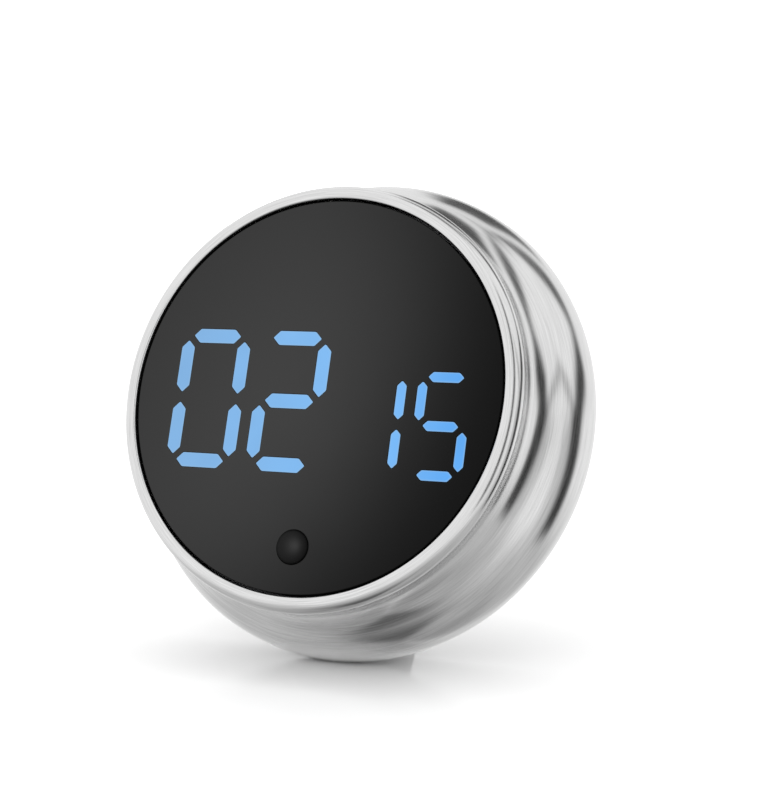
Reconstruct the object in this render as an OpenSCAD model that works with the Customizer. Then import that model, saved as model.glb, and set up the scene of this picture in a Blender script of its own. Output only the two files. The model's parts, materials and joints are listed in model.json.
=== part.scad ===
// Round digital kitchen timer with a turning steel ring.
// Millimetres. The timer stands on the floor plane z = 0, its display faces -Y and leans back.
// Each piece except the stand foot is drawn in the dial's own frame: +Z out of the display,
// +Y up the display, z = 0 at the front edge of the steel ring. on_dial() puts it in place.

/* [Stance] */
// Lean of the display away from upright, in degrees
lean = 17.65; // [17:0.05:18.5]
// Width of the stand foot
foot_w = 15; // [10:0.5:15]
// Distance of the foot's sole behind the display's centre, along the floor
foot_reach = 21.5; // [20.5:0.5:22.5]

/* [Ring] */
// Radius of the opening in the ring, around the display
display_r = 31.35; // [31.3:0.05:31.5]
// Radius of the rolled front lip's section
lip_round = 2; // [1.9:0.05:2.1]
// Radius of the hollow waist's section
waist_round = 9; // [8.8:0.1:9.2]
// Largest radius of the ring, at its rear shoulder
shoulder_r = 39; // [38.9:0.1:39.5]
// Radius of the rear shoulder's section
shoulder_round = 9.5; // [9.4:0.1:9.6]
// Depth of the rear shoulder behind the front edge
shoulder_z = 18.8; // [18.7:0.1:19]
// Wall thickness of the steel
ring_wall = 0.9; // [0.8:0.05:0.9]

/* [Display] */
// Minutes shown
minutes = 2; // [0:1:99]
// Seconds shown
seconds = 15; // [0:1:59]
// Height of the lower edge of the digits
digit_base = -12.4; // [-12.5:0.1:-12]
// Diameter of the start button
button_d = 5.2; // [5:0.1:5.3]

/* [Drive] */
// Teeth inside the ring carrier
ring_teeth = 58; // [58:1:58]
// Teeth of the encoder pinion
pinion_teeth = 14; // [14:1:14]

/* [Power] */
// Diameter of an AAA cell
cell_d = 10.5; // [10.2:0.1:10.5]
// Length of an AAA cell
cell_l = 44.5; // [44:0.1:44.5]
// Diameter of a holding magnet
magnet_d = 8; // [6:0.5:8]

/* [Hidden] */

// Gaps between pieces
fit = 0.06;       // running fit, on the radius
gap = 0.25;       // plain clearance
shadow_gap = 0.35; // between the panel and the ring
over = 1;         // how far a cut runs past the face it opens
join = 0.01;      // how far solids of one piece run into each other

// Depths of the layers, from the front edge of the ring backwards
panel_front = -0.5;
panel_back = -2;
plate_front = -2.3;
plate_back = -3.8;
board_front = -7.5;
board_back = -8.7;
drum_end = -11.3;
gear_front = -11.5;
gear_back = -14.3;
web_back = -16;
tray_front = -14.7;
tray_floor = -15.5;
washer_back = -16.4;
cover_inside = -26.7;
cover_back = -28.3;

// Main radii of the fixed core
panel_r = display_r - shadow_gap;
bearing_r = 30.3;
drum_r = bearing_r - fit;
drum_inner_r = 28.95;
gussets = 12;
board_r = 27.9;
cover_r = 33.4;
wall_r = 33.2;
wall_inner_r = 31.8;

// Section of the steel ring: centres of its three arcs, as [radius, z], and the slopes in degrees
// where they meet
lip_inner_round = 0.45;
lip_c = [display_r + lip_inner_round, -lip_round];
shoulder_c = [shoulder_r - shoulder_round, -shoulder_z];
waist_c = tangent_centre(lip_c, lip_round + waist_round, shoulder_c, shoulder_round + waist_round);
lip_turn = direction(lip_c, waist_c);
shoulder_start = direction(shoulder_c, waist_c);
shoulder_end = -60;
neck_r = waist_c[0] - waist_round - ring_wall;

// Standing position: the rear shoulder touches the floor
hub_h = shoulder_c[0] * cos(lean) + shoulder_z * sin(lean) + shoulder_round;
cover_chamfer = 0.5;
front_y = -lip_c[0] * sin(lean) + lip_round * cos(lean) - lip_round;
back_y = (cover_r - cover_chamfer) * sin(lean) - cover_back * cos(lean);
hub_y = -(front_y + back_y) / 2;

// Digits: [centre x, width, height, stroke, gap between bar tips], sizes on the bars' centre lines
BIG = [10, 20, 2.25, 1.6];
SMALL = [7.3, 15, 1.55, 1.5];
DIGITS = [[-18.3, BIG], [-4.1, BIG], [11, SMALL], [21.7, SMALL]];
SHOWN = [floor(minutes / 10), minutes % 10, floor(seconds / 10), seconds % 10];
// Bars a to g of a seven-segment digit that are on for 0 to 9
BARS_ON = ["abcdef", "bc", "abdeg", "abcdg", "bcfg", "acdfg", "acdefg", "abc", "abcdefg", "abcdfg"];
BARS = ["a", "b", "c", "d", "e", "f", "g"];
window_depth = 0.4;
window_gap = 0.02;
// Footprint of the light box behind the digits
display_half_w = 26.9;
display_low = -13;
display_high = 10.6;
display_corner_r = 28.6;

// Start button, below the digits
button_y = -23.8;
button_r = button_d / 2;
button_gap = 0.15;
button_dome = 1;
button_flange_r = 3.5;
button_flange_t = 0.7;
button_rise = 0.15; // from the flange up to the back of the panel
stem_r = 1.6;
stem_end = -5.2;
plunger_r = 1;

// Drive: module 1 gears with a 20 degree pressure angle
gear_module = 1;
pressure_angle = 20;
backlash_angle = 0.12;
carrier_tip = 0.7;
carrier_root = 1;
pinion_tip = 0.8;
pinion_root = 1.15;
pinion_x = gear_module * (ring_teeth - pinion_teeth) / 2;
pinion_front = -11.7;
pinion_back = -14.2;
shaft_r = 2;
shaft_front = -9.4;

// Fastening points on the dial, as [x, y]
PILLARS = [[8.2, 23.6], [-8.2, 23.6], [11.3, -22.3], [-11.3, -22.3]];
BOARD_POSTS = [[0, 19], [20, -17], [-20, -17]];
pillar_r = 2.2;
pillar_foot_r = 2.9;
board_post_r = 2;
screw_r = 1;
screw_gap = 0.1;

// Power: three cells side by side along X
cell_z = -21.15;
cell_pitch = 10.7;
CELL_ROWS = [-1, 0, 1];
tray_wall = 0.8;
tray_half_l = cell_l / 2 + 2.55;
tray_half_w = 1.5 * cell_pitch - 0.1;
door_half_l = tray_half_l + 0.25;
door_half_w = tray_half_w + 0.2;
contact_t = 0.3;
contact_tail_y = 9.2;

// Back face: magnets, pads and volume switch
MAGNETS = [[16, 22], [-16, 22]];
notch_l = 2;
notch_w = 9;
PADS = [[22.8, 19.3], [-22.8, 19.3], [22.8, -19.3], [-22.8, -19.3]];
magnet_t = 3;
screw_head_r = 1.9;
screw_sunk = 1.7; // depth of the screws' seats below the back face
switch_y = 26.5;
switch_travel = 4;
slider_w = 2.2;
switch_half_l = 4;
switch_half_w = 2;
switch_top = cover_inside + 3.8;
switch_board_t = 1;
slot_half_l = (switch_travel + slider_w) / 2 + 0.25;

// Stand foot: hinge point on the dial, and its direction to the sole in the upright frame
hinge_y = -29;
hinge_z = -26;
hinge_up = [hinge_y * sin(lean) - hinge_z * cos(lean),
    hub_h + hinge_y * cos(lean) + hinge_z * sin(lean)];
foot_angle = atan2(foot_reach - hinge_up[0], hinge_up[1]);
foot_t = 2.2;
sole_t = 1;
foot_pin_r = 0.8;
recess_half_w = foot_w / 2 + 0.4;
recess_top = -18;
recess_front = -24.1;
recess_wall = 0.8;
recess_side = 1.3; // side walls, which hold the foot's pin

$fn = 96;

// ---- Geometry helpers ----

function direction(from, to) = atan2(to[1] - from[1], to[0] - from[0]);

function arc(c, r, a0, a1, steps) =
    [for (i = [0:steps]) let (a = a0 + (a1 - a0) * i / steps) c + r * [cos(a), sin(a)]];

// Centre of the circle that touches two others, on their right-hand side
function tangent_centre(c1, d1, c2, d2) =
    let (span = norm(c2 - c1),
         along = (d1 * d1 - d2 * d2 + span * span) / (2 * span),
         aside = sqrt(d1 * d1 - along * along),
         u = (c2 - c1) / span)
    c1 + along * u + aside * [-u[1], u[0]];

module on_dial() {
    translate([0, hub_y, hub_h]) rotate([90 - lean, 0, 0]) children();
}

// A ring or disc between two depths
module band(r_out, r_in, z_low, z_high) {
    difference() {
        translate([0, 0, z_low]) cylinder(r = r_out, h = z_high - z_low);
        if (r_in > 0)
            translate([0, 0, z_low - over]) cylinder(r = r_in, h = z_high - z_low + 2 * over);
    }
}

module block(half_x, half_y, z_low, z_high) {
    translate([-half_x, -half_y, z_low]) cube([2 * half_x, 2 * half_y, z_high - z_low]);
}

module at_points(points) {
    for (p = points) translate([p[0], p[1], 0]) children();
}

// A round wire along a path of points
module wire(path, r, sides) {
    last = len(path) - 1;
    rings = [for (i = [0:last])
        let (t = path[min(i + 1, last)] - path[max(i - 1, 0)],
             u = t / norm(t),
             side = cross(u, [0.1, 0.2, 1]),
             v = side / norm(side),
             w = cross(u, v))
        [for (k = [0:sides - 1]) path[i] + r * (cos(360 * k / sides) * v + sin(360 * k / sides) * w)]];
    points = [for (ring = rings) for (p = ring) p];
    skin = [for (i = [0:last - 1]) for (k = [0:sides - 1])
        let (n = (k + 1) % sides)
        [i * sides + k, (i + 1) * sides + k, (i + 1) * sides + n, i * sides + n]];
    caps = [[for (k = [0:sides - 1]) k], [for (k = [sides - 1:-1:0]) last * sides + k]];
    polyhedron(points = points, faces = concat(caps, skin));
}

// ---- Gears ----

function involute(a) = tan(a) * 180 / PI - a;

// Half the angle that one tooth fills at radius r
function tooth_half(teeth, r, extra) =
    let (base = gear_module * teeth / 2 * cos(pressure_angle),
         a = acos(min(1, base / r)))
    90 / teeth + extra + involute(pressure_angle) - involute(a);

module gear_shape(teeth, root_r, tip_r, extra) {
    steps = 3;
    flank = [for (i = [0:steps]) root_r + (tip_r - root_r) * i / steps];
    outline = [for (tooth = [0:teeth - 1])
        for (side = [-1, 1])
            for (i = [0:steps])
                let (r = side < 0 ? flank[i] : flank[steps - i],
                     a = 360 * tooth / teeth + side * tooth_half(teeth, r, extra))
                r * [cos(a), sin(a)]];
    polygon(outline);
}

// ---- Turning ring ----

function ring_outside() = concat(
    arc([display_r + lip_inner_round, -lip_inner_round], lip_inner_round, 180, 90, 3),
    arc(lip_c, lip_round, 90, lip_turn, 10),
    arc(waist_c, waist_round, lip_turn + 180, shoulder_start + 180, 8),
    arc(shoulder_c, shoulder_round, shoulder_start, -lean, 7),
    arc(shoulder_c, shoulder_round, -lean, shoulder_end, 4));

function ring_inside() = concat(
    arc(shoulder_c, shoulder_round - ring_wall, shoulder_end, shoulder_start, 10),
    arc(waist_c, waist_round + ring_wall, shoulder_start + 180, lip_turn + 180, 8));

module steel_ring() {
    lip_back = waist_c[1] + (waist_round + ring_wall) * sin(lip_turn + 180);
    color("silver") on_dial()
        rotate_extrude() polygon(concat(ring_outside(), ring_inside(), [[display_r, lip_back]]));
}

// Radius that just clears the inside of the steel's shoulder at a depth
function shoulder_inner_r(z) =
    shoulder_c[0] + sqrt(pow(shoulder_round - ring_wall, 2) - pow(z - shoulder_c[1], 2)) - fit;

module ring_carrier() {
    sleeve_front = plate_back - 0.1;
    web_front = gear_back - 0.2;
    web_inner_r = 31;
    pitch_r = gear_module * ring_teeth / 2;
    teeth_r = pitch_r - 1.5; // inside the tips, which the gear shape cuts out
    color("dimgray") on_dial() {
        difference() {
            rotate_extrude() polygon([
                [bearing_r, sleeve_front], [neck_r, sleeve_front], [neck_r, web_front],
                [shoulder_inner_r(web_front), web_front], [shoulder_inner_r(web_back), web_back],
                [web_inner_r, web_back], [web_inner_r, gear_back], [teeth_r, gear_back],
                [teeth_r, gear_front], [bearing_r, gear_front]]);
            translate([0, 0, gear_back - over]) linear_extrude(gear_front - gear_back + over + 0.05)
                gear_shape(ring_teeth, pitch_r - carrier_tip, pitch_r + carrier_root, backlash_angle);
        }
        for (i = [0:gussets - 1]) rotate([0, 0, 360 * i / gussets]) gusset(web_front);
    }
}

// Triangular rib between the carrier's sleeve and the front of its web
module gusset(web_front) {
    height = 5;
    reach = 4;
    thickness = 1;
    sunk = 0.2;
    rotate([90, 0, 0]) translate([0, 0, -thickness / 2]) linear_extrude(thickness)
        polygon([[neck_r - sunk, web_front + height], [neck_r - sunk, web_front - sunk],
            [neck_r + reach, web_front - sunk], [neck_r + reach, web_front]]);
}

module glide_washer() {
    color("white") on_dial() band(wall_r - 0.1, wall_inner_r + 0.1, washer_back, web_back - 0.08);
}

// ---- Display ----

function digit_lift(size) = digit_base + (size[1] + size[2]) / 2;

// Centre and turn of bar n (0 to 6 for a to g) of a digit
function bar_place(n, size) =
    let (x = size[0] / 2, y = size[1] / 2)
    [[0, y, 0], [x, y / 2, 90], [x, -y / 2, 90], [0, -y, 0],
     [-x, -y / 2, 90], [-x, y / 2, 90], [0, 0, 0]][n];

// A bar is a long hexagon with pointed ends
module bar_shape(length, stroke, inset) {
    h = stroke / 2 - inset;
    l = length / 2 - inset * sqrt(2);
    polygon([[-l, 0], [h - l, h], [l - h, h], [l, 0], [l - h, -h], [h - l, -h]]);
}

function is_lit(digit, bar) = len(search(BARS[bar], BARS_ON[SHOWN[digit]])) > 0;

// Outlines of the digit bars that are lit, unlit or, with no choice, all of them
module bar_shapes(lit, inset) {
    for (d = [0:len(DIGITS) - 1]) {
        size = DIGITS[d][1];
        for (n = [0:len(BARS) - 1]) if (is_undef(lit) || is_lit(d, n) == lit) {
            place = bar_place(n, size);
            span = place[2] == 0 ? size[0] : size[1] / 2;
            translate([DIGITS[d][0] + place[0], digit_lift(size) + place[1]]) rotate(place[2])
                bar_shape(span - size[3], size[2], inset);
        }
    }
}

module front_panel() {
    edge = 0.3;
    color("#17181a") on_dial() difference() {
        rotate_extrude() polygon([[0, panel_back], [panel_r, panel_back], [panel_r, panel_front - edge],
            [panel_r - edge, panel_front], [0, panel_front]]);
        translate([0, 0, panel_front - window_depth]) linear_extrude(window_depth + over)
            bar_shapes(undef, 0);
        translate([0, button_y, panel_back - over])
            cylinder(r = button_r + button_gap, h = panel_front - panel_back + 2 * over);
    }
}

module digit_windows(lit) {
    translate([0, 0, panel_front - window_depth]) linear_extrude(window_depth) bar_shapes(lit, window_gap);
}

module digit_windows_lit() {
    color("lightskyblue") on_dial() digit_windows(true);
}

module digit_windows_unlit() {
    color("#1a1b1e") on_dial() digit_windows(false);
}

module panel_tape() {
    color("gainsboro") on_dial() band(panel_r - 0.1, drum_inner_r, plate_front, panel_back);
}

// Footprint that the display's layers share, inside the drum
module display_outline(margin) {
    intersection() {
        translate([-display_half_w - margin, display_low - margin])
            square([2 * (display_half_w + margin), display_high - display_low + 2 * margin]);
        circle(r = display_corner_r + margin);
    }
}

module diffuser_film() {
    color("whitesmoke") on_dial() translate([0, 0, plate_front]) linear_extrude(panel_back - plate_front)
        display_outline(0);
}

module light_box() {
    well_inset = 0.25;
    color("white") on_dial() translate([0, 0, board_front]) difference() {
        linear_extrude(plate_front - board_front) display_outline(0);
        translate([0, 0, -over]) linear_extrude(plate_front - board_front + 2 * over)
            bar_shapes(undef, well_inset);
    }
}

module led_chips() {
    chip = [1.4, 0.7, 0.6];
    color("khaki") on_dial()
        for (d = [0:len(DIGITS) - 1]) for (n = [0:len(BARS) - 1]) {
            size = DIGITS[d][1];
            place = bar_place(n, size);
            translate([DIGITS[d][0] + place[0], digit_lift(size) + place[1], board_front + chip[2] / 2])
                rotate([0, 0, place[2]]) cube(chip, center = true);
        }
}

// ---- Electronics ----

module main_board() {
    color("darkgreen") on_dial() difference() {
        band(board_r, 0, board_back, board_front);
        at_points(PILLARS) band(pillar_foot_r + gap, 0, board_back - over, board_front + over);
        at_points(BOARD_POSTS) band(screw_r + screw_gap, 0, board_back - over, board_front + over);
    }
}

module controller_chip() {
    chip_y = -5;
    half_w = 3.5;
    thickness = 1.2;
    color("black") on_dial() translate([0, chip_y, 0])
        block(half_w, half_w, board_back - thickness, board_back);
}

// A row of small chip parts on the back of the board, centred on x = 0
module chip_row(count, y) {
    pitch = 2;
    for (i = [0:count - 1]) translate([pitch * (i - (count - 1) / 2), y, 0])
        block(0.5, 1, board_back - 0.6, board_back);
}

module board_components() {
    capacitor_r = 2;
    capacitor_h = 4.5;
    color("tan") on_dial() {
        chip_row(8, -13);
        chip_row(5, 4);
        for (x = [-3, 3]) translate([x, 11, 0])
            band(capacitor_r, 0, board_back - capacitor_h, board_back);
        // crystal
        translate([10, -9, 0]) block(1.6, 0.8, board_back - 1, board_back);
    }
}

module board_screws() {
    head_r = 1.8;
    head_h = 1.2;
    bite = 2.5;
    color("lightgray") on_dial() at_points(BOARD_POSTS) {
        band(head_r, 0, board_back - head_h, board_back);
        band(screw_r, 0, board_back, board_front + bite);
    }
}

module tact_switch() {
    half_w = 2.25;
    height = 1.4;
    floor_t = 0.4;
    color("dimgray") on_dial() translate([0, button_y, 0]) difference() {
        block(half_w, half_w, board_front, board_front + height);
        band(plunger_r + 0.1, 0, board_front + floor_t, board_front + height + over);
    }
}

module tact_plunger() {
    length = 1.2;
    color("white") on_dial() translate([0, button_y, 0]) band(plunger_r, 0, stem_end - length, stem_end);
}

module start_button() {
    dome_r = (button_r * button_r + button_dome * button_dome) / (2 * button_dome);
    dome_z = panel_front + button_dome - dome_r;
    flange_front = panel_back - button_rise;
    flange_back = flange_front - button_flange_t;
    color("#17181a") on_dial() translate([0, button_y, 0]) rotate_extrude() polygon(concat(
        [[0, stem_end], [stem_r, stem_end], [stem_r, flange_back],
            [button_flange_r, flange_back], [button_flange_r, flange_front], [button_r, flange_front]],
        arc([0, dome_z], dome_r, direction([0, dome_z], [button_r, panel_front]), 90, 8)));
}

module encoder_body() {
    half_w = 5.5;
    body_back = pinion_front + 0.4;
    color("#3a3a40") on_dial() translate([pinion_x, 0, 0]) difference() {
        block(half_w, half_w, body_back, board_back);
        band(shaft_r + fit, 0, body_back - over, shaft_front + 0.3);
    }
}

module encoder_shaft() {
    color("lightgray") on_dial() translate([pinion_x, 0, 0])
        band(shaft_r, 0, pinion_back - 0.2, shaft_front);
}

module encoder_pinion() {
    pitch_r = gear_module * pinion_teeth / 2;
    color("ivory") on_dial() translate([pinion_x, 0, pinion_back]) difference() {
        linear_extrude(pinion_front - pinion_back)
            gear_shape(pinion_teeth, pitch_r - pinion_root, pitch_r + pinion_tip, -5 * backlash_angle);
        translate([0, 0, -over]) cylinder(r = shaft_r, h = pinion_front - pinion_back + 2 * over);
    }
}

module piezo_buzzer() {
    buzzer_r = 6.5;
    height = 5;
    sound_hole_r = 1;
    color("#1c1c1c") on_dial() translate([-14.5, 5, 0]) difference() {
        band(buzzer_r, 0, board_back - height, board_back);
        band(sound_hole_r, 0, board_back - height - over, board_back - height + 2);
    }
}

// ---- Fixed core ----

module inner_chassis() {
    color("#26272a") on_dial() difference() {
        union() {
            band(panel_r - 0.05, 0, plate_back, plate_front);
            band(drum_r, drum_inner_r, drum_end, plate_back + join);
            at_points(BOARD_POSTS) band(board_post_r, 0, board_front, plate_back + join);
            at_points(PILLARS) {
                band(pillar_foot_r, 0, tray_front, plate_back + join);
                band(pillar_r, 0, cover_inside + 1.7, plate_back + join);
            }
        }
        translate([0, 0, plate_back - over]) linear_extrude(plate_front - plate_back + 2 * over)
            display_outline(0.15);
        translate([0, button_y, 0]) band(button_flange_r + 0.4, 0, plate_back - over, plate_front + over);
        at_points(BOARD_POSTS) band(screw_r, 0, board_front - over, board_front + 3.5);
        at_points(PILLARS) band(screw_r, 0, cover_inside + 1, cover_inside + 11);
    }
}

module battery_tray() {
    ear_half_w = 11;
    ear_y = 24;
    ear_r = 3.6;
    color("#2b2c30") on_dial() difference() {
        union() {
            block(tray_half_l + tray_wall, tray_half_w + tray_wall, cover_inside + 0.2, tray_front);
            block(ear_half_w, ear_y, tray_floor, tray_front);
            at_points(PILLARS) band(ear_r, 0, tray_floor, tray_front);
        }
        block(tray_half_l, tray_half_w, cover_inside - over, tray_floor);
        at_points(PILLARS) band(pillar_r + 0.05, 0, tray_floor - over, tray_front + over);
        // slots for the contacts' tails
        for (side = [-1, 1]) translate([side * (tray_half_l - contact_t / 2), -side * contact_tail_y, 0])
            block(0.4, 0.9, tray_floor - over, tray_front + over);
    }
}

// ---- Power ----

module cell(row) {
    nub_l = 1;
    nub_r = 1.9;
    facing = row == 0 ? 180 : 0;
    color(row == 0 ? "slategray" : "lightsteelblue") on_dial()
        translate([0, row * cell_pitch, cell_z]) rotate([0, 0, facing]) rotate([0, 90, 0])
            rotate_extrude() polygon([[0, -cell_l / 2], [cell_d / 2 - 0.4, -cell_l / 2],
                [cell_d / 2, -cell_l / 2 + 0.4], [cell_d / 2, cell_l / 2 - nub_l - 0.6],
                [cell_d / 2 - 0.6, cell_l / 2 - nub_l], [nub_r, cell_l / 2 - nub_l],
                [nub_r, cell_l / 2], [0, cell_l / 2]]);
}

// Side of the tray (+1 or -1) that a cell's positive end faces
function plus_side(row) = row == 0 ? -1 : 1;

module contact_plates() {
    inner = tray_half_l - contact_t;
    plate = 8;
    tail_w = 1.2;
    color("lightgray") on_dial() {
        for (side = [-1, 1]) translate([side * (inner + contact_t / 2), 0, 0]) {
            // one plate joins two cells, the other carries a tail to the board
            translate([0, side * cell_pitch / 2, cell_z])
                cube([contact_t, cell_pitch + plate, plate], center = true);
            translate([0, -side * cell_pitch, cell_z]) cube([contact_t, plate, plate], center = true);
            translate([0, -side * contact_tail_y, (board_back + cell_z) / 2])
                cube([contact_t, tail_w, board_back - cell_z], center = true);
        }
        for (row = CELL_ROWS) translate([plus_side(row) * inner, row * cell_pitch, cell_z])
            rotate([0, -90 * plus_side(row), 0]) cylinder(r1 = 2.4, r2 = 1.4, h = inner - cell_l / 2);
    }
}

// Conical coil: wide on the plate, narrow at the cell
module contact_spring() {
    turns = 2.5;
    points_a_turn = 12;
    steps = turns * points_a_turn;
    wire_r = 0.25;
    wide_r = 3.4;
    narrow_r = 2.2;
    length = tray_half_l - contact_t - cell_l / 2;
    wire([for (i = [0:steps])
        let (a = 360 * i / points_a_turn, r = wide_r + (narrow_r - wide_r) * i / steps)
        [r * cos(a), r * sin(a), wire_r + (length - 2 * wire_r) * i / steps]], wire_r, 8);
}

module contact_springs() {
    color("gainsboro") on_dial() for (row = CELL_ROWS)
        translate([-plus_side(row) * (tray_half_l - contact_t), row * cell_pitch, cell_z])
            rotate([0, 90 * plus_side(row), 0]) contact_spring();
}

// ---- Back ----

// Block between two depths that runs from an upper end down past the cover's lower edge
module foot_space(half_w, top, z_low, z_high) {
    bottom = -cover_r - over;
    translate([-half_w, bottom, z_low]) cube([2 * half_w, top - bottom, z_high - z_low]);
}

module cover_solid() {
    chamfer = cover_chamfer;
    boss_r = 3.3;
    rotate_extrude() polygon([[0, cover_back], [cover_r - chamfer, cover_back],
        [cover_r, cover_back + chamfer], [cover_r, cover_inside], [wall_r, cover_inside],
        [wall_r, washer_back], [wall_inner_r, washer_back], [wall_inner_r, cover_inside],
        [0, cover_inside]]);
    at_points(PILLARS) band(boss_r, 0, cover_inside, tray_floor);
    at_points(MAGNETS) band(magnet_d / 2 + 0.8, 0, cover_inside, cover_back + magnet_t + 0.5);
    // rim round the switch
    translate([0, switch_y, 0])
        block(switch_half_l + 1.2, switch_half_w + 0.9, cover_inside, cover_inside + 2.2);
    // housing of the foot's recess
    intersection() {
        foot_space(recess_half_w + recess_side, recess_top + recess_wall, cover_back,
            recess_front + recess_wall);
        band(wall_r, 0, cover_back, washer_back);
    }
}

module cover_cuts() {
    translate([0, 0, cover_back - over]) {
        // battery opening, and a finger notch at its latch end
        block(door_half_l + gap, door_half_w + gap, 0, 2 * over + 3);
        translate([door_half_l, 0, 0]) block(notch_l, notch_w / 2, 0, over + 1);
        at_points(PILLARS) {
            cylinder(r = screw_head_r + 0.2, h = over + screw_sunk);
            cylinder(r = screw_r + 0.15, h = over + 4);
        }
        at_points(MAGNETS) cylinder(r = magnet_d / 2, h = over + magnet_t);
        translate([0, switch_y, 0]) block(slot_half_l + 0.05, slider_w / 2 + 0.2, 0, 6);
    }
    at_points(PILLARS) band(pillar_r + 0.05, 0, cover_inside + 1.4, tray_front);
    translate([0, switch_y, 0])
        block(switch_half_l + 0.1, switch_half_w + 0.1, cover_inside + 0.1, cover_inside + 8);
    // recess of the foot, open at the cover's lower edge, and its pin's holes
    foot_space(recess_half_w, recess_top, cover_back - over, recess_front);
    translate([0, hinge_y, hinge_z]) rotate([0, 90, 0])
        cylinder(r = foot_pin_r, h = 2 * recess_half_w + 2, center = true);
}

module rear_cover() {
    color("#222326") on_dial() difference() {
        cover_solid();
        cover_cuts();
    }
}

module battery_door() {
    door_front = cover_inside + 0.1;
    corner = 1.5;
    grip_w = 12;
    color("#28292c") on_dial() difference() {
        translate([0, 0, cover_back]) linear_extrude(door_front - cover_back) difference() {
            square([2 * door_half_l, 2 * door_half_w], center = true);
            for (x = [-1, 1]) for (y = [-1, 1])
                translate([x * door_half_l, y * door_half_w]) rotate(45)
                    square(corner, center = true);
        }
        // three grip grooves at the latch end
        for (i = [0:2]) translate([door_half_l - 3 - 1.6 * i, 0, cover_back])
            rotate([90, 0, 0]) cylinder(r = 0.4, h = grip_w, center = true);
    }
}

module housing_screws() {
    head_front = cover_back + screw_sunk;
    head_back = head_front - 1.3;
    length = 9;
    color("lightgray") on_dial() at_points(PILLARS) difference() {
        union() {
            band(screw_head_r, 0, head_back, head_front);
            band(screw_r, 0, head_front, head_front + length);
        }
        // cross slot
        for (turn = [0, 90]) rotate([0, 0, turn]) block(1.1, 0.25, head_back - over, head_back + 0.7);
    }
}

module magnets() {
    color("silver") on_dial() at_points(MAGNETS) band(magnet_d / 2, 0, cover_back, cover_back + magnet_t);
}

module grip_pads() {
    pad_r = 2;
    pad_t = 0.3;
    color("black") on_dial() at_points(PADS) band(pad_r, 0, cover_back - pad_t, cover_back);
}

module switch_board() {
    color("darkgreen") on_dial() translate([0, switch_y, 0])
        block(switch_half_l + 0.6, switch_half_w + 0.8, switch_top, switch_top + switch_board_t);
}

module switch_body() {
    color("#3a3a40") on_dial() translate([0, switch_y, 0]) difference() {
        block(switch_half_l, switch_half_w, cover_inside + 0.2, switch_top);
        block(slot_half_l, slider_w / 2 + 0.15, cover_inside - over, cover_inside + 1.3);
    }
}

module volume_slider() {
    color("gray") on_dial() translate([0, switch_y, 0]) difference() {
        block(slider_w / 2, slider_w / 2, cover_back + 0.1, cover_inside + 1.1);
        for (x = [-0.5, 0.5]) translate([x, 0, 0])
            block(0.15, slider_w, cover_back - over, cover_back + 0.4);
    }
}

module switch_leads() {
    lead_r = 0.4;
    color("firebrick") on_dial() for (x = [-1.6, 0, 1.6]) translate([x, switch_y, 0])
        band(lead_r, 0, switch_top + switch_board_t, board_back);
}

// ---- Stand foot, drawn upright around its hinge ----

module at_hinge() {
    translate([0, hub_y + hinge_up[0], hinge_up[1]]) children();
}

// Side view of the leg below its hinge, between two heights above the floor
module leg_side(low, high) {
    reach = 16;
    intersection() {
        rotate(foot_angle) translate([-foot_t / 2, -reach]) square([foot_t, reach]);
        translate([-reach, low - hinge_up[1]]) square([3 * reach, high - low]);
    }
}

module foot_slab(half_w) {
    rotate([90, 0, 90]) translate([0, 0, -half_w]) linear_extrude(2 * half_w) children();
}

module stand_foot() {
    barrel_r = 1.6;
    color("#222326") at_hinge() difference() {
        foot_slab(foot_w / 2) union() {
            leg_side(sole_t, hinge_up[1]);
            circle(r = barrel_r);
        }
        rotate([0, 90, 0]) cylinder(r = foot_pin_r + fit, h = foot_w + 2, center = true);
    }
}

module foot_pin() {
    color("silver") at_hinge() rotate([0, 90, 0])
        cylinder(r = foot_pin_r, h = 2 * recess_half_w + 1.8, center = true);
}

module foot_sole() {
    color("black") at_hinge() foot_slab(foot_w / 2) leg_side(0, sole_t);
}

// ---- Nodes ----

steel_ring();
ring_carrier();
glide_washer();
front_panel();
digit_windows_lit();
digit_windows_unlit();
panel_tape();
diffuser_film();
light_box();
led_chips();
main_board();
controller_chip();
board_components();
board_screws();
tact_switch();
tact_plunger();
start_button();
encoder_body();
encoder_shaft();
encoder_pinion();
piezo_buzzer();
inner_chassis();
battery_tray();
cell(-1);  // cell_1
cell(0);  // cell_2
cell(1);  // cell_3
contact_plates();
contact_springs();
rear_cover();
battery_door();
housing_screws();
magnets();
grip_pads();
switch_board();
switch_body();
volume_slider();
switch_leads();
stand_foot();
foot_pin();
foot_sole();
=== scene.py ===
"""Looks of a round kitchen timer with a turning brushed-steel ring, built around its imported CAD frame.

Shapes that belong to the dial are drawn in dial coordinates: x right, y up the display, z out of
it, with z = 0 at the ring's front edge. DIAL turns them into the frame's own coordinates.
"""
import json
import math

import bmesh
import bpy
import numpy as np
from mathutils import Matrix, Vector


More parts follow.
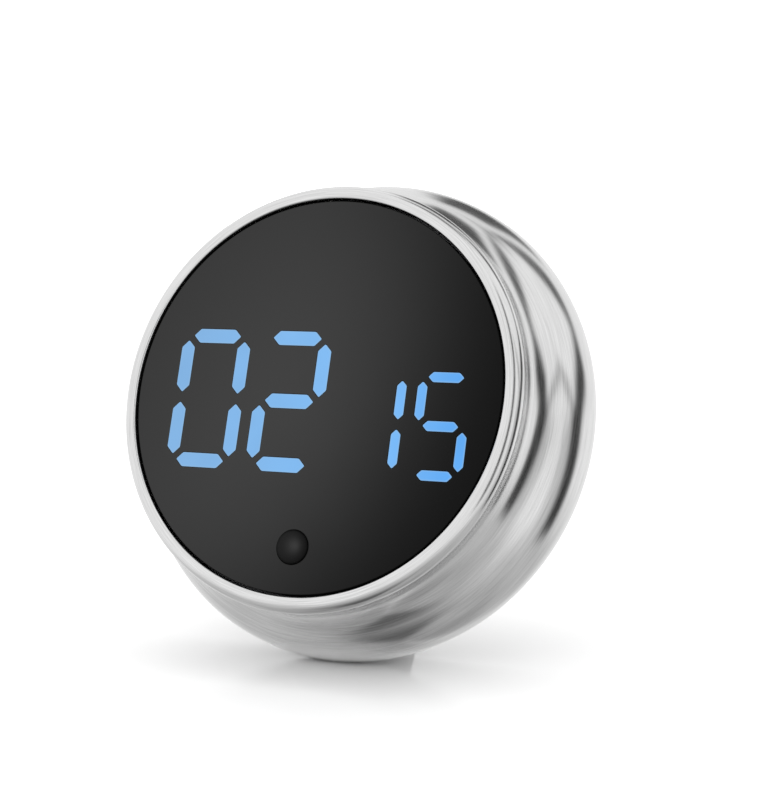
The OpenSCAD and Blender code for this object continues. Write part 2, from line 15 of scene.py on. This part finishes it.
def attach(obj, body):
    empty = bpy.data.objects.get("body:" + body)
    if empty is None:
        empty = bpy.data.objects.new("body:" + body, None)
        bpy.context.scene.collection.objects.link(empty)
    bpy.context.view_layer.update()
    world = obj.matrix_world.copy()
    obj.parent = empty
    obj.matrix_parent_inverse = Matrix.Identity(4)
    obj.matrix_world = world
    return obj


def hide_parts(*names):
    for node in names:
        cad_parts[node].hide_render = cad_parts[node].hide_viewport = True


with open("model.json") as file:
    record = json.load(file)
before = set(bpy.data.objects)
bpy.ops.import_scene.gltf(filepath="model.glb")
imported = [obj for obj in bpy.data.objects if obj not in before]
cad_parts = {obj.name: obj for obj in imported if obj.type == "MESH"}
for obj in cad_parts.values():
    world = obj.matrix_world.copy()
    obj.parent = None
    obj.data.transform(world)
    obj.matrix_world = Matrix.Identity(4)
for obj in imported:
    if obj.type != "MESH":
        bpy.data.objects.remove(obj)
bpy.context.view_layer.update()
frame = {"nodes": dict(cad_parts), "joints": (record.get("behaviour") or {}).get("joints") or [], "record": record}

MM = 0.001


# ---- The dial's place, read from the frame ----

def find_joint(name):
    return next(j for j in frame["joints"] if j["name"] == name)


def dial_matrix():
    """Dial coordinates to frame coordinates, with the origin on the axis at the ring's front edge."""
    spin = find_joint("ring_spin")
    out = Vector(spin["axis"]).normalized()
    right = Vector((1, 0, 0))
    up = out.cross(right)
    on_axis = Vector(spin["pos_m"])
    front = max((v.co - on_axis).dot(out) for v in frame["nodes"]["steel_ring"].data.vertices)
    turn = Matrix((right, up, out)).transposed().to_4x4()
    return Matrix.Translation(on_axis + out * front) @ turn


DIAL = dial_matrix()
TO_DIAL = DIAL.inverted()


def dial_points(node):
    """A CAD node's vertices in dial coordinates."""
    vertices = frame["nodes"][node].data.vertices
    return np.array([TO_DIAL @ v.co for v in vertices])


def dial_box(node):
    points = dial_points(node)
    return Vector(points.min(0)), Vector(points.max(0))


def radii(node):
    points = dial_points(node)
    return np.hypot(points[:, 0], points[:, 1])


DISPLAY_R = float(radii("steel_ring").min())
SHOULDER_R = float(radii("steel_ring").max())


# ---- Node and material helpers ----

class Nodes:
    """A node tree, with short ways to add and link nodes."""

    def __init__(self, tree):
        self.tree = tree

    def add(self, kind, **settings):
        node = self.tree.nodes.new("ShaderNode" + kind)
        for key, value in settings.items():
            setattr(node, key, value)
        return node

    def link(self, source, target):
        self.tree.links.new(source, target)

    def math(self, operation, first, second=None):
        node = self.add("Math", operation=operation)
        for socket, value in zip(node.inputs, (first, second)):
            if isinstance(value, (int, float)):
                socket.default_value = value
            elif value is not None:
                self.link(value, socket)
        return node.outputs[0]

    def noise(self, vector, scale, detail=4.0, roughness=0.55):
        node = self.add("TexNoise")
        node.inputs["Scale"].default_value = scale
        node.inputs["Detail"].default_value = detail
        node.inputs["Roughness"].default_value = roughness
        self.link(vector, node.inputs["Vector"])
        return node.outputs["Fac"]

    def place(self):
        return self.add("TexCoord").outputs["Object"]

    def spread(self, value, low, high, from_low=0, from_high=1):
        """Stretches a value between two limits, 0 to 1 unless given, over low to high."""
        node = self.add("MapRange")
        node.inputs["From Min"].default_value = from_low
        node.inputs["From Max"].default_value = from_high
        node.inputs["To Min"].default_value = low
        node.inputs["To Max"].default_value = high
        self.link(value, node.inputs["Value"])
        return node.outputs["Result"]

    def blend(self, share, first, second):
        node = self.add("MixRGB")
        node.inputs["Color1"].default_value = (*first, 1)
        node.inputs["Color2"].default_value = (*second, 1)
        self.link(share, node.inputs["Fac"])
        return node.outputs["Color"]


class Shader(Nodes):
    """A new material's node tree, around its Principled surface."""

    def __init__(self, name):
        self.material = bpy.data.materials.new(name)
        self.material.use_nodes = True
        super().__init__(self.material.node_tree)
        self.surface = self.tree.nodes["Principled BSDF"]

    def set(self, **values):
        for key, value in values.items():
            self.surface.inputs[key.replace("_", " ")].default_value = value

    def bump(self, height, strength, depth):
        node = self.add("Bump")
        node.inputs["Strength"].default_value = strength
        node.inputs["Distance"].default_value = depth
        self.link(height, node.inputs["Height"])
        self.link(node.outputs["Normal"], self.surface.inputs["Normal"])


def grey(value):
    return (value, value, value)


def mixed(color, share):
    return tuple(min(1.0, c * share) for c in color)


def moulded(name, color, roughness=0.5, grain=0.25 * MM, depth=0.01 * MM, specular=0.5):
    """Moulded plastic or rubber: fine grain, and slow changes of tone and gloss."""
    s = Shader(name)
    place = s.place()
    fine = s.noise(place, 1 / grain, 2.0)
    broad = s.noise(place, 1 / (12 * MM), 3.0)
    s.link(s.blend(broad, mixed(color, 0.85), mixed(color, 1.2)), s.surface.inputs["Base Color"])
    s.link(s.spread(broad, roughness - 0.06, roughness + 0.06), s.surface.inputs["Roughness"])
    s.bump(fine, 0.5, depth)
    s.set(Specular_IOR_Level=specular)
    return s.material


def plated(name, color, roughness=0.3):
    """Plated metal: faint spots and uneven gloss."""
    s = Shader(name)
    place = s.place()
    spots = s.noise(place, 1 / (0.8 * MM), 5.0)
    s.link(s.blend(spots, mixed(color, 0.8), mixed(color, 1.1)), s.surface.inputs["Base Color"])
    s.link(s.spread(spots, roughness - 0.1, roughness + 0.12), s.surface.inputs["Roughness"])
    s.bump(spots, 0.2, 0.01 * MM)
    s.set(Metallic=1.0)
    return s.material


def brushed_steel():
    """Steel brushed round the ring: UV x is the turn, 0 to 1, and UV y the way across, in metres."""
    s = Shader("brushed_steel")
    uv = s.add("UVMap", uv_map="turn")
    split = s.add("SeparateXYZ")
    s.link(uv.outputs["UV"], split.inputs["Vector"])
    angle = s.math("MULTIPLY", split.outputs["X"], 2 * math.pi)

    def streaks(length, width, detail):
        place = s.add("CombineXYZ")
        across = s.math("MULTIPLY", split.outputs["Y"], 1 / width)
        s.link(s.math("MULTIPLY", s.math("COSINE", angle), SHOULDER_R / length), place.inputs["X"])
        s.link(s.math("MULTIPLY", s.math("SINE", angle), SHOULDER_R / length), place.inputs["Y"])
        s.link(across, place.inputs["Z"])
        return s.noise(place.outputs["Vector"], 1.0, detail, 0.7)

    fine = streaks(6 * MM, 0.06 * MM, 3.0)
    coarse = streaks(14 * MM, 0.25 * MM, 2.0)
    mean = s.math("ADD", s.math("MULTIPLY", fine, 0.6), s.math("MULTIPLY", coarse, 0.4))
    marks = s.spread(mean, 0, 1, 0.34, 0.66)
    s.link(s.blend(marks, grey(0.66), grey(0.9)), s.surface.inputs["Base Color"])
    s.link(s.spread(marks, 0.13, 0.2), s.surface.inputs["Roughness"])
    s.bump(marks, 0.03, 0.02 * MM)
    tangent = s.add("Tangent", direction_type="UV_MAP", uv_map="turn")
    s.link(tangent.outputs["Tangent"], s.surface.inputs["Tangent"])
    s.set(Metallic=1.0, Anisotropic=0.4, Anisotropic_Rotation=0.25)
    return s.material


def soft_touch():
    """Black soft-touch lacquer of the panel and the button."""
    s = Shader("soft_touch_black")
    place = s.place()
    fine = s.noise(place, 1 / (0.08 * MM), 2.0)
    broad = s.noise(place, 1 / (15 * MM), 2.0)
    s.link(s.blend(broad, grey(0.0027), grey(0.0033)), s.surface.inputs["Base Color"])
    s.link(s.spread(broad, 0.46, 0.52), s.surface.inputs["Roughness"])
    s.bump(fine, 0.15, 0.004 * MM)
    s.set(Specular_IOR_Level=0.06)
    return s.material


def lit_window():
    """Lit bars glowing blue, pure blue at the right of the display and paler at their rims; the grey-blue at the
    left is painted sheen of the light from the left.

    The "edge" attribute is 1 at a bar's rim and 0 inside it.
    """
    s = Shader("lit_window")
    split = s.add("SeparateXYZ")
    s.link(s.place(), split.inputs["Vector"])
    across = s.spread(split.outputs["X"], 0, 1, -20 * MM, 24 * MM)
    # Painted sheen: the glow turns grey-blue towards the left, standing in for light from the left lying on the
    # bars
    glow_and_sheen = s.add("ValToRGB")
    glow_and_sheen.color_ramp.elements[0].color = (0.215, 0.445, 0.75, 1)
    glow_and_sheen.color_ramp.elements[1].color = (0.11, 0.4, 0.89, 1)
    glow_and_sheen.color_ramp.elements.new(0.7).color = (0.205, 0.5, 0.91, 1)
    s.link(across, glow_and_sheen.inputs["Fac"])
    flow = s.noise(s.place(), 1 / (5 * MM), 1.0)
    core = s.add("MixRGB", blend_type="MULTIPLY")
    core.inputs["Fac"].default_value = 1
    s.link(glow_and_sheen.outputs["Color"], core.inputs["Color1"])
    s.link(s.blend(flow, grey(0.94), grey(1.06)), core.inputs["Color2"])
    rim = s.add("MixRGB")
    rim.inputs["Color2"].default_value = (0.3, 0.5, 0.72, 1)
    s.link(core.outputs["Color"], rim.inputs["Color1"])
    edge = s.add("Attribute", attribute_name="edge").outputs["Fac"]
    s.link(s.math("MULTIPLY", edge, 0.5), rim.inputs["Fac"])
    s.link(rim.outputs["Color"], s.surface.inputs["Emission Color"])
    s.set(Base_Color=(0.01, 0.01, 0.02, 1), Roughness=0.5, Specular_IOR_Level=0.06, Emission_Strength=1.0)
    return s.material


# ---- Mesh helpers ----

def add_object(name, mesh, material, body, replaces=()):
    """Puts a mesh drawn in dial coordinates in place, and says what it stands for."""
    mesh.transform(DIAL)
    mesh.materials.append(material)
    piece = bpy.data.objects.new(name, mesh)
    bpy.context.scene.collection.objects.link(piece)
    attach(piece, body)
    if replaces:
        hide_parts(*replaces)
    return piece


def smooth(mesh, sharp_angle=40):
    """Shades the mesh smooth, except across edges sharper than the angle in degrees."""
    mesh.polygons.foreach_set("use_smooth", [True] * len(mesh.polygons))
    mesh.set_sharp_from_angle(angle=math.radians(sharp_angle))
    mesh.update()


def lathe(name, outline, turns=256, uv_name="turn"):
    """Turns a closed outline of (radius, z) points about the dial's axis. Points on the axis close it."""
    steps = np.linspace(0, 2 * math.pi, turns, endpoint=False)
    rings = len(outline)
    points = [(r * math.cos(a), r * math.sin(a), z) for r, z in outline for a in steps]
    faces = []
    for i in range(rings):
        j = (i + 1) % rings
        for k in range(turns):
            n = (k + 1) % turns
            faces.append((i * turns + k, j * turns + k, j * turns + n, i * turns + n))
    mesh = bpy.data.meshes.new(name)
    mesh.from_pydata(points, [], faces)
    along = np.concatenate([[0], np.cumsum([math.dist(outline[i], outline[(i + 1) % rings])
                                           for i in range(rings)])])
    layer = mesh.uv_layers.new(name=uv_name)
    uvs = []
    for i in range(rings):
        for k in range(turns):
            u0, u1 = k / turns, (k + 1) / turns
            uvs += [(u0, along[i]), (u0, along[i + 1]), (u1, along[i + 1]), (u1, along[i])]
    layer.data.foreach_set("uv", np.array(uvs, np.float32).ravel())
    smooth(mesh)
    return mesh


def arc(centre, radius, start, end, steps):
    """Points on a circle, as (radius from the axis, z); angles in degrees, 0 pointing outwards."""
    angles = np.radians(np.linspace(start, end, steps + 1))
    return [(centre[0] + radius * math.cos(a), centre[1] + radius * math.sin(a)) for a in angles]


def direction(start, end):
    return math.degrees(math.atan2(end[1] - start[1], end[0] - start[0]))


def tangent_centre(first, reach_1, second, reach_2):
    """Centre of the circle that touches two others, on the side away from the axis."""
    span = math.dist(first, second)
    along = (reach_1 ** 2 - reach_2 ** 2 + span ** 2) / (2 * span)
    aside = math.sqrt(reach_1 ** 2 - along ** 2)
    u = ((second[0] - first[0]) / span, (second[1] - first[1]) / span)
    return (first[0] + along * u[0] - aside * u[1], first[1] + along * u[1] + aside * u[0])


# ---- Steel ring ----

LIP_ROUND = 2 * MM
LIP_INNER_ROUND = 0.45 * MM
WAIST_ROUND = 9 * MM
SHOULDER_ROUND = 9.5 * MM
SHOULDER_DEPTH = 18.8 * MM
RING_WALL = 0.9 * MM
SHOULDER_END = -60  # degrees; the wall curls in to here behind the shoulder


def ring_outline():
    """A rolled lip, a hollow waist and a rounded shoulder that run into each other."""
    lip = (DISPLAY_R + LIP_INNER_ROUND, -LIP_ROUND)
    shoulder = (SHOULDER_R - SHOULDER_ROUND, -SHOULDER_DEPTH)
    waist = tangent_centre(lip, LIP_ROUND + WAIST_ROUND, shoulder, SHOULDER_ROUND + WAIST_ROUND)
    lip_turn = direction(lip, waist)
    waist_end = direction(waist, shoulder) + 360
    shoulder_start = waist_end - 180
    outside = (arc((lip[0], -LIP_INNER_ROUND), LIP_INNER_ROUND, 180, 90, 5)
               + arc(lip, LIP_ROUND, 90, lip_turn, 18)[1:]
               + arc(waist, WAIST_ROUND, lip_turn + 180, waist_end, 28)[1:]
               + arc(shoulder, SHOULDER_ROUND, shoulder_start, SHOULDER_END, 44)[1:])
    inside = (arc(shoulder, SHOULDER_ROUND - RING_WALL, SHOULDER_END, shoulder_start, 16)
              + arc(waist, WAIST_ROUND + RING_WALL, waist_end, lip_turn + 180, 12)[1:])
    return outside + inside + [(DISPLAY_R, inside[-1][1])]


def make_ring():
    mesh = lathe("ring_shell", ring_outline(), turns=360)
    add_object("ring_shell", mesh, brushed_steel(), "ring", ["steel_ring"])


# ---- Panel, button and digit bars ----

# A solid's vertices closer than this are one vertex
SAME_PLACE = 1e-6


def islands(node):
    """A CAD node's separate solids, each as the dial coordinates of its vertices."""
    mesh = bmesh.new()
    mesh.from_mesh(frame["nodes"][node].data)
    bmesh.ops.remove_doubles(mesh, verts=mesh.verts, dist=SAME_PLACE)
    left = set(mesh.verts)
    found = []
    while left:
        todo = [left.pop()]
        island = []
        while todo:
            vert = todo.pop()
            island.append(TO_DIAL @ vert.co)
            for edge in vert.link_edges:
                other = edge.other_vert(vert)
                if other in left:
                    left.remove(other)
                    todo.append(other)
        found.append(np.array(island))
    mesh.free()
    return sorted(found, key=lambda p: (round(p[:, 0].mean(), 5), round(p[:, 1].mean(), 5)))


def bar_outline(points, inset):
    """Six corners of a bar, from the extent of its solid, moved inwards by inset."""
    low, high = points.min(0), points.max(0)
    cx, cy = (low[0] + high[0]) / 2, (low[1] + high[1]) / 2
    hx, hy = (high[0] - low[0]) / 2, (high[1] - low[1]) / 2
    half, stroke = (hx, hy) if hx > hy else (hy, hx)
    half, stroke = half - inset * math.sqrt(2), stroke - inset
    corners = [(-half, 0), (stroke - half, stroke), (half - stroke, stroke),
               (half, 0), (half - stroke, -stroke), (stroke - half, -stroke)]
    if hy > hx:
        corners = [(-y, x) for x, y in corners]
    return [(cx + x, cy + y) for x, y in corners]


def rounded(corners, radius, steps=3):
    """The outline with each corner cut to a short curve."""
    count = len(corners)
    points = []
    for i in range(count):
        here = Vector(corners[i])
        before = (Vector(corners[i - 1]) - here).normalized() * radius
        after = (Vector(corners[(i + 1) % count]) - here).normalized() * radius
        for k in range(steps + 1):
            t = k / steps
            points.append(here + before * (1 - t) ** 2 + after * t ** 2)
    return points


BAR_ROUND = 0.18 * MM
BAR_RIM = 0.22 * MM
BAR_DEPTH = 0.3 * MM
BAR_GAP = 0.02 * MM
# The chamfer round a bar's top
BAR_EDGE_WIDTH = 0.06 * MM
BAR_EDGE_DEPTH = 0.02 * MM
# How far the unlit bars lie under the panel's face
SMOKED_SKIN = 0.05 * MM


def make_bars(name, node, material, sunk=0.0):
    """All bars of a node as round-cornered windows with an "edge" attribute."""
    top = dial_box(node)[1][2] - sunk
    mesh = bmesh.new()
    shade = mesh.verts.layers.float.new("edge")
    for points in islands(node):
        loops = []
        for inset, z, value in ((0, top - BAR_DEPTH, 1.0), (0, top - BAR_EDGE_DEPTH, 1.0),
                                (BAR_EDGE_WIDTH, top, 0.8), (BAR_RIM, top, 0.0)):
            outline = rounded(bar_outline(points, inset), BAR_ROUND)
            loop = [mesh.verts.new((p[0], p[1], z)) for p in outline]
            for vert in loop:
                vert[shade] = value
            loops.append(loop)
        for lower, upper in zip(loops, loops[1:]):
            for k in range(len(lower)):
                n = (k + 1) % len(lower)
                mesh.faces.new((lower[k], lower[n], upper[n], upper[k]))
        mesh.faces.new(loops[-1])
        mesh.faces.new(reversed(loops[0]))
    bmesh.ops.recalc_face_normals(mesh, faces=mesh.faces)
    data = bpy.data.meshes.new(name)
    mesh.to_mesh(data)
    mesh.free()
    return add_object(name, data, material, "housing", [node])


PANEL_EDGE = 0.22 * MM
BUTTON_R = 2.6 * MM
BUTTON_GAP = 0.06 * MM


def circle_points(centre, radius, count):
    angles = np.linspace(0, 2 * math.pi, count, endpoint=False)
    return [(centre[0] + radius * math.cos(a), centre[1] + radius * math.sin(a)) for a in angles]


def make_panel(material):
    """The panel as a filled outline with a hole for each lit bar and for the button, thickened."""
    low, high = dial_box("front_panel")
    button = dial_box("start_button")
    centre = (button[0] + button[1]) / 2
    hole_r = BUTTON_R + BUTTON_GAP
    curve = bpy.data.curves.new("panel_face", "CURVE")
    curve.dimensions = "2D"
    curve.fill_mode = "BOTH"
    curve.extrude = (high[2] - low[2]) / 2 - PANEL_EDGE / 2
    curve.bevel_depth = PANEL_EDGE / 2
    curve.bevel_resolution = 3
    curve.offset = -PANEL_EDGE / 2
    outlines = [circle_points((0, 0), float(radii("front_panel").max()), 256),
                circle_points(centre, hole_r, 64)]
    outlines += [rounded(bar_outline(p, -BAR_GAP), BAR_ROUND) for p in islands("digit_windows_lit")]
    for outline in outlines:
        spline = curve.splines.new("POLY")
        spline.points.add(len(outline) - 1)
        for point, place in zip(spline.points, outline):
            point.co = (place[0], place[1], 0, 1)
        spline.use_cyclic_u = True
    source = bpy.data.objects.new("panel_source", curve)
    mesh = bpy.data.meshes.new_from_object(source)
    bpy.data.objects.remove(source)
    mesh.transform(Matrix.Translation((0, 0, (low[2] + high[2]) / 2)))
    mesh.materials.clear()
    return add_object("panel_face", mesh, material, "housing", ["front_panel"])


# Behind the panel: the button's rise to it, its flange and its stem
BUTTON_RISE = 0.15 * MM
FLANGE_THICK = 0.7 * MM
STEM_R = 1.6 * MM
ON_AXIS = 1e-6


def make_button(material):
    """A domed cap with a flange and a stem behind it."""
    low, high = dial_box("start_button")
    centre = (low + high) / 2
    face = dial_box("front_panel")[1][2]
    dome = high[2] - face
    cap = [(BUTTON_R * math.cos(a), face + dome * math.sin(a)) for a in np.linspace(0, math.pi / 2, 14)]
    flange_r = (high[0] - low[0]) / 2
    flange_front = dial_box("front_panel")[0][2] - BUTTON_RISE
    flange_back = flange_front - FLANGE_THICK
    outline = [(ON_AXIS, low[2]), (STEM_R, low[2]), (STEM_R, flange_back),
               (flange_r, flange_back), (flange_r, flange_front), (BUTTON_R, flange_front)]
    outline += cap[:-1] + [(ON_AXIS, face + dome)]
    mesh = lathe("button_cap", outline, turns=64)
    mesh.transform(Matrix.Translation((centre[0], centre[1], 0)))
    add_object("button_cap", mesh, material, "start_button", ["start_button"])


# ---- CAD nodes that keep their shape ----

# Moulded pieces that show from outside, and the radius that softens their edges
MOULDED = ("rear_cover", "battery_door", "stand_foot", "foot_sole", "volume_slider")
MOULD_EDGE = 0.12 * MM
MOULD_SHARP = 50  # degrees; flatter edges stay as they are


def soften(node):
    """Rounds the sharp edges of a moulded piece a little, so that they catch the light."""
    bevel = node.modifiers.new("mould_edge", "BEVEL")
    bevel.width = MOULD_EDGE
    bevel.segments = 2
    bevel.limit_method = "ANGLE"
    bevel.angle_limit = math.radians(MOULD_SHARP)
    bevel.harden_normals = True


def dress(materials):
    """Gives every carried-over CAD node the material of its record slot, and softens the edges of the moulded
    ones.
    """
    for part in frame["record"]["subparts"]:
        node = frame["nodes"][part["node"]]
        node.data.materials.clear()
        node.data.materials.append(materials[part["material_slot"]])
    for name in MOULDED:
        soften(frame["nodes"][name])


def slot_materials(soft_black):
    return {
        "brushed_steel": plated("steel_inside", grey(0.6)),
        "black_panel": soft_black,
        "lit_window": lit_window(),
        "dark_window": soft_black,
        "black_plastic": moulded("black_plastic", (0.02, 0.02, 0.022), 0.55),
        "grey_plastic": moulded("grey_plastic", (0.16, 0.16, 0.17), 0.5),
        "white_plastic": moulded("white_plastic", (0.8, 0.8, 0.78), 0.45),
        "led_chip": moulded("led_chip", (0.75, 0.7, 0.4), 0.3),
        "circuit_board": moulded("circuit_board", (0.02, 0.14, 0.05), 0.3, grain=0.6 * MM),
        "chip_black": moulded("chip_black", (0.02, 0.02, 0.02), 0.45),
        "component_tan": moulded("component_tan", (0.42, 0.33, 0.2), 0.4),
        "zinc_screw": plated("zinc_plate", (0.6, 0.6, 0.58), 0.28),
        "cell_sleeve": plated("cell_sleeve", (0.2, 0.28, 0.42), 0.35),
        "contact_metal": plated("nickel_contact", (0.7, 0.69, 0.64), 0.25),
        "magnet_metal": plated("nickel_magnet", (0.68, 0.67, 0.64), 0.22),
        "black_rubber": moulded("black_rubber", (0.018, 0.018, 0.018), 0.75),
        "lead_red": moulded("lead_red", (0.45, 0.02, 0.02), 0.4),
    }


# ---- Stage: floor, studio, camera ----

FLOOR_HALF = 20.0
FLOOR_WHITE = 0.9
# Strength of the floor's mirror image at the origin, how far off it is gone, and how blurred it is
FLOOR_MIRROR = 0.36
MIRROR_REACH = 75 * MM
MIRROR_BLUR = 0.12
# Round this distance from the origin, shiny surfaces stop mirroring the floor and see the room
NEAR_FLOOR = 12 * MM


def floor_material():
    """Matt white with a faint mirror image for the camera, and clear to shiny surfaces further off."""
    s = Shader("floor")
    s.tree.nodes.remove(s.surface)
    path = s.add("LightPath")
    matt = s.add("BsdfDiffuse")
    matt.inputs["Color"].default_value = (*grey(FLOOR_WHITE), 1)
    mirror = s.add("BsdfAnisotropic")
    mirror.inputs["Roughness"].default_value = MIRROR_BLUR
    distance = s.add("VectorMath", operation="LENGTH")
    s.link(s.place(), distance.inputs[0])
    fading = s.spread(distance.outputs["Value"], FLOOR_MIRROR, 0, 0, MIRROR_REACH)
    shiny = s.add("MixShader")
    s.link(s.math("MULTIPLY", path.outputs["Is Camera Ray"], fading), shiny.inputs["Fac"])
    s.link(matt.outputs[0], shiny.inputs[1])
    s.link(mirror.outputs[0], shiny.inputs[2])
    away = s.add("MapRange", interpolation_type="SMOOTHSTEP")
    away.inputs["From Min"].default_value = NEAR_FLOOR * 0.6
    away.inputs["From Max"].default_value = NEAR_FLOOR * 1.4
    s.link(distance.outputs["Value"], away.inputs["Value"])
    clear = s.add("MixShader")
    s.link(s.math("MULTIPLY", path.outputs["Is Glossy Ray"], away.outputs["Result"]), clear.inputs["Fac"])
    s.link(shiny.outputs[0], clear.inputs[1])
    s.link(s.add("BsdfTransparent").outputs[0], clear.inputs[2])
    s.link(clear.outputs[0], s.tree.nodes["Material Output"].inputs["Surface"])
    return s.material


def make_floor():
    half = FLOOR_HALF
    mesh = bpy.data.meshes.new("floor")
    corners = [(-half, -half, 0), (half, -half, 0), (half, half, 0), (-half, half, 0)]
    mesh.from_pydata(corners, [], [(0, 1, 2, 3)])
    mesh.materials.append(floor_material())
    floor = bpy.data.objects.new("floor", mesh)
    bpy.context.scene.collection.objects.link(floor)


# Strength of the even sky that lights matt surfaces
SKY = 1.5
# What shiny surfaces mirror: a white room with dark gaps between its lamps. The gaps were set
# for the look of the front view, and from other sides they are only patches. Each has the azimuth
# (0 is in front, 90 to the right) and elevation of its middle, its half width and half height,
# how much it rises per degree of azimuth, how soft its edge is (all in degrees), and its brightness.
WHITE_ROOM = 0.94
GAPS = {
    "lower walls": (0, -62, 180, 34, 0.0, 30, 0.56),
    "floor": (0, -92, 180, 34, 0.0, 26, 0.34),
    "floor in front": (5, -78, 40, 22, 0.0, 40, 0.12),
    "floor to the right": (75, -66, 34, 14, 0.0, 26, 0.46),
    "beside the camera": (47, 22, 8, 35, 0.0, 12, 0.06),
    "right lamp's far side": (90, -12, 12, 26, 0.0, 16, 0.6),
    "behind the right lamp": (109, -10, 12, 24, 0.0, 10, 0.03),
    "above the right lamp": (85, 28, 14, 5, -0.9, 8, 0.45),
    "under the top lamp": (123, 15, 16, 10, 0.3, 12, 0.04),
    "top lamp's far side": (148, 46, 11, 20, 0.8, 14, 0.13),
    "behind the timer": (-175, 42, 14, 16, 0.0, 10, 0.1),
    "overhead at the back": (172, 80, 60, 8, 0.0, 14, 0.2),
}


def view_angles(s):
    """Azimuth and elevation, in degrees, of the direction that a ray goes in."""
    place = s.add("SeparateXYZ")
    s.link(s.add("TexCoord").outputs["Generated"], place.inputs["Vector"])
    front = s.math("MULTIPLY", place.outputs["Y"], -1)
    azimuth = s.math("DEGREES", s.math("ARCTAN2", place.outputs["X"], front))
    elevation = s.math("DEGREES", s.math("ARCSINE", place.outputs["Z"]))
    return azimuth, elevation


def inside(s, offset, half, soft):
    """1 within half a width of the middle, falling to 0 over the soft edge."""
    node = s.add("MapRange", interpolation_type="SMOOTHSTEP")
    node.inputs["From Min"].default_value = half - soft / 2
    node.inputs["From Max"].default_value = half + soft / 2
    node.inputs["To Min"].default_value = 1
    node.inputs["To Max"].default_value = 0
    s.link(s.math("ABSOLUTE", offset), node.inputs["Value"])
    return node.outputs["Result"]


def room_level(s, azimuth, elevation):
    """Brightness of the white room with its gaps, in each direction."""
    room = WHITE_ROOM
    for mid_az, mid_el, half_az, half_el, rise, soft, bright in GAPS.values():
        wrap = s.add("Math", operation="WRAP")
        wrap.inputs[1].default_value = 180
        wrap.inputs[2].default_value = -180
        s.link(s.math("SUBTRACT", azimuth, mid_az), wrap.inputs[0])
        across = wrap.outputs[0]
        above = s.math("SUBTRACT", s.math("SUBTRACT", elevation, mid_el), s.math("MULTIPLY", across, rise))
        share = s.math("MULTIPLY", inside(s, across, half_az, soft), inside(s, above, half_el, soft))
        dark = s.math("MULTIPLY", share, bright)
        lit = s.math("MULTIPLY", s.math("SUBTRACT", 1, share), room)
        room = s.math("ADD", dark, lit)
    return room


def make_world():
    """White behind the object, an even sky for matt surfaces, and a studio for shiny ones."""
    world = bpy.data.worlds.new("studio")
    bpy.context.scene.world = world
    world.use_nodes = True
    world.cycles.sampling_method = "NONE"
    s = Nodes(world.node_tree)
    s.tree.nodes.clear()
    path = s.add("LightPath")
    room = room_level(s, *view_angles(s))
    sky = s.math("MULTIPLY", s.math("SUBTRACT", 1, path.outputs["Is Glossy Ray"]), SKY)
    mirrored = s.math("MULTIPLY", path.outputs["Is Glossy Ray"], room)
    seen = path.outputs["Is Camera Ray"]
    level = s.math("ADD", s.math("ADD", sky, mirrored), seen)
    light = s.add("Background")
    light.inputs["Color"].default_value = (1, 1, 1, 1)
    s.link(level, light.inputs["Strength"])
    s.link(light.outputs[0], s.add("OutputWorld").inputs["Surface"])


LAMP_POWER = 13
LAMP_CONE = 34  # degrees
LAMP_BLEND = 0.7
LAMP_SIZE = 10 * MM
LAMP_TARGET = (-60 * MM, 20 * MM, 0)
LAMP_DISTANCE = 300 * MM


def make_panel_light():
    """A lamp for the black face only. The edge of its soft cone makes the face fade to the right."""
    data = bpy.data.lights.new("panel_lamp", "SPOT")
    data.energy = LAMP_POWER
    data.spot_size = math.radians(LAMP_CONE)
    data.spot_blend = LAMP_BLEND
    data.shadow_soft_size = LAMP_SIZE
    lamp = bpy.data.objects.new("panel_lamp", data)
    bpy.context.scene.collection.objects.link(lamp)
    target = Vector(LAMP_TARGET)
    place = DIAL @ (target + Vector((0, 0, LAMP_DISTANCE)))
    lamp.location = place
    lamp.rotation_mode = "QUATERNION"
    lamp.rotation_quaternion = (DIAL @ target - place).to_track_quat("-Z", "Y")
    face = bpy.data.collections.new("black_face")
    for name in ("panel_face", "button_cap", "dark_bars"):
        face.objects.link(bpy.data.objects[name])
    lamp.light_linking.receiver_collection = face


VIEW_YAW = math.radians(24.95)
VIEW_PITCH = math.radians(5.19)
# The camera's offsets from the dial's centre, in display radii
VIEW_DISTANCE = 9.729
VIEW_RIGHT = 0.347
VIEW_DOWN = 0.033
LENS = 89.55
SENSOR = 36


def make_camera():
    """The camera looks down a little from the right."""
    yaw = Matrix.Rotation(VIEW_YAW, 3, "Z")
    pitch = Matrix.Rotation(math.pi / 2 - VIEW_PITCH, 3, "X")
    turn = yaw @ pitch
    data = bpy.data.cameras.new("camera")
    data.lens = LENS
    data.sensor_width = SENSOR
    camera = bpy.data.objects.new("camera", data)
    bpy.context.scene.collection.objects.link(camera)
    offset = Vector((VIEW_RIGHT, -VIEW_DOWN, VIEW_DISTANCE)) * DISPLAY_R
    camera.matrix_world = Matrix.Translation(DIAL.translation + turn @ offset) @ turn.to_4x4()
    bpy.context.scene.camera = camera


# ---- Build ----

soft_black = soft_touch()
materials = slot_materials(soft_black)
dress(materials)
make_ring()
make_panel(soft_black)
make_button(soft_black)
make_bars("lit_bars", "digit_windows_lit", materials["lit_window"])
make_bars("dark_bars", "digit_windows_unlit", soft_black, SMOKED_SKIN)
make_floor()
make_world()
make_panel_light()
make_camera()
bpy.context.scene.view_settings.view_transform = "Standard"
